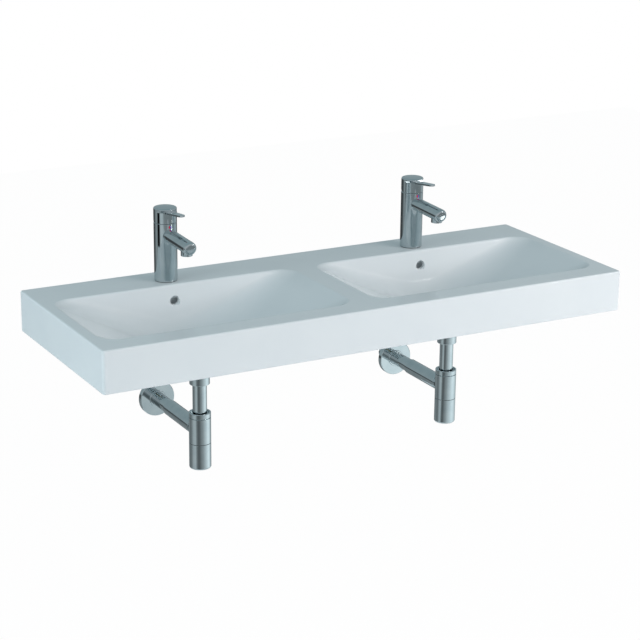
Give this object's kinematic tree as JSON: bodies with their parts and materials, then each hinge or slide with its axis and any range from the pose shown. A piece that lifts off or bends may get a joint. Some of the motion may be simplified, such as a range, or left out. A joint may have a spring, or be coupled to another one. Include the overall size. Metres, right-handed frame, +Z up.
{
  "type": "double washbasin",
  "caption": "Wall-hung rectangular ceramic double washbasin with ramped bowls, single-lever mixers, push-open wastes and chromed bottle traps.",
  "frame": {"origin": "on the wall face, midway along the basin, on the line of the wall fixings, 55 mm below the deck", "axes": "+X along the wall to the right seen from the front, +Y into the wall, +Z up"},
  "size_m": [1.3, 0.525, 0.5681],
  "materials": {
    "glazed_ceramic": "white gloss glaze",
    "chrome": "polished chrome plate",
    "brass": "turned",
    "steel": "zinc plated",
    "rubber": "moulded black",
    "white_plastic": "moulded",
    "indicator_plastic": "red and blue halves"
  },
  "bodies": {
    "root": {"aerator_housing_left": "chrome", "aerator_housing_right": "chrome", "aerator_insert_left": "white_plastic", "aerator_insert_right": "white_plastic", "basin": "glazed_ceramic", "cartridge_nut_left": "brass", "cartridge_nut_right": "brass", "inlet_tube_left": "chrome", "inlet_tube_right": "chrome", "outlet_arm_left": "chrome", "outlet_arm_right": "chrome", "outlet_collar_left": "chrome", "outlet_collar_right": "chrome", "slip_nut_left": "chrome", "slip_nut_right": "chrome", "tap_base_seals": "rubber", "tap_body_left": "chrome", "tap_body_right": "chrome", "tap_cartridge_left": "white_plastic", "tap_cartridge_right": "white_plastic", "tap_clamp_plates": "steel", "tap_indicator_left": "indicator_plastic", "tap_indicator_right": "indicator_plastic", "tap_nuts": "steel", "tap_rubber_washers": "rubber", "tap_studs": "steel", "trap_head_left": "chrome", "trap_head_right": "chrome", "trap_inlet_seals": "rubber", "trap_nut_left": "chrome", "trap_nut_right": "chrome", "trap_top_seals": "rubber", "waste_back_nuts": "brass", "waste_body_left": "chrome", "waste_body_right": "chrome", "waste_click_left": "white_plastic", "waste_click_right": "white_plastic", "waste_lower_seals": "rubber", "waste_upper_seals": "rubber"},
    "mixer_carrier_left": {"tap_carrier_left": "white_plastic"},
    "mixer_lever_left": {"tap_spindle_left": "steel", "tap_handle_left": "chrome", "handle_screw_left": "steel"},
    "push_plug_left": {"waste_plug_left": "chrome", "plug_seal_left": "rubber"},
    "cup_thread_left": {"cup_seal_left": "rubber"},
    "cup_left": {"trap_cup_left": "chrome"},
    "rosette_left": {"wall_rosette_left": "chrome", "rosette_ring_left": "rubber"},
    "mixer_carrier_right": {"tap_carrier_right": "white_plastic"},
    "mixer_lever_right": {"tap_spindle_right": "steel", "tap_handle_right": "chrome", "handle_screw_right": "steel"},
    "push_plug_right": {"waste_plug_right": "chrome", "plug_seal_right": "rubber"},
    "cup_thread_right": {"cup_seal_right": "rubber"},
    "cup_right": {"trap_cup_right": "chrome"},
    "rosette_right": {"wall_rosette_right": "chrome", "rosette_ring_right": "rubber"}
  },
  "joints": [
    {"name": "tap_temperature_left", "type": "hinge", "parent": "root", "child": "mixer_carrier_left", "pos_m": [-0.325, -0.07, 0.188], "axis": [0, 0, 1], "range_deg": [-50, 50]},
    {"name": "tap_flow_left", "type": "hinge", "parent": "mixer_carrier_left", "child": "mixer_lever_left", "pos_m": [-0.325, -0.07, 0.188], "axis": [-1, 0, 0], "range_deg": [0, 20]},
    {"name": "plug_push_left", "type": "slide", "parent": "root", "child": "push_plug_left", "axis": [0, 0, 1], "range_m": [-0.008, 0]},
    {"name": "cup_lower_left", "type": "slide", "parent": "root", "child": "cup_thread_left", "axis": [0, 0, -1], "range_m": [0, 0.0101]},
    {"name": "cup_unscrew_left", "type": "hinge", "parent": "cup_thread_left", "child": "cup_left", "pos_m": [-0.325, -0.245, -0.305], "axis": [0, 0, -1], "range_deg": [0, 1440]},
    {"name": "rosette_slide_left", "type": "slide", "parent": "root", "child": "rosette_left", "axis": [0, -1, 0], "range_m": [0, 0.04]},
    {"name": "tap_temperature_right", "type": "hinge", "parent": "root", "child": "mixer_carrier_right", "pos_m": [0.325, -0.07, 0.188], "axis": [0, 0, 1], "range_deg": [-50, 50]},
    {"name": "tap_flow_right", "type": "hinge", "parent": "mixer_carrier_right", "child": "mixer_lever_right", "pos_m": [0.325, -0.07, 0.188], "axis": [-1, 0, 0], "range_deg": [0, 20]},
    {"name": "plug_push_right", "type": "slide", "parent": "root", "child": "push_plug_right", "axis": [0, 0, 1], "range_m": [-0.008, 0]},
    {"name": "cup_lower_right", "type": "slide", "parent": "root", "child": "cup_thread_right", "axis": [0, 0, -1], "range_m": [0, 0.0101]},
    {"name": "cup_unscrew_right", "type": "hinge", "parent": "cup_thread_right", "child": "cup_right", "pos_m": [0.325, -0.245, -0.305], "axis": [0, 0, -1], "range_deg": [0, 1440]},
    {"name": "rosette_slide_right", "type": "slide", "parent": "root", "child": "rosette_right", "axis": [0, -1, 0], "range_m": [0, 0.04]}
  ],
  "couplings": [
    {"joint": "cup_lower_left", "follows": "cup_unscrew_left", "m_per_rad": 0.00039789},
    {"joint": "cup_lower_right", "follows": "cup_unscrew_right", "m_per_rad": 0.00039789}
  ]
}
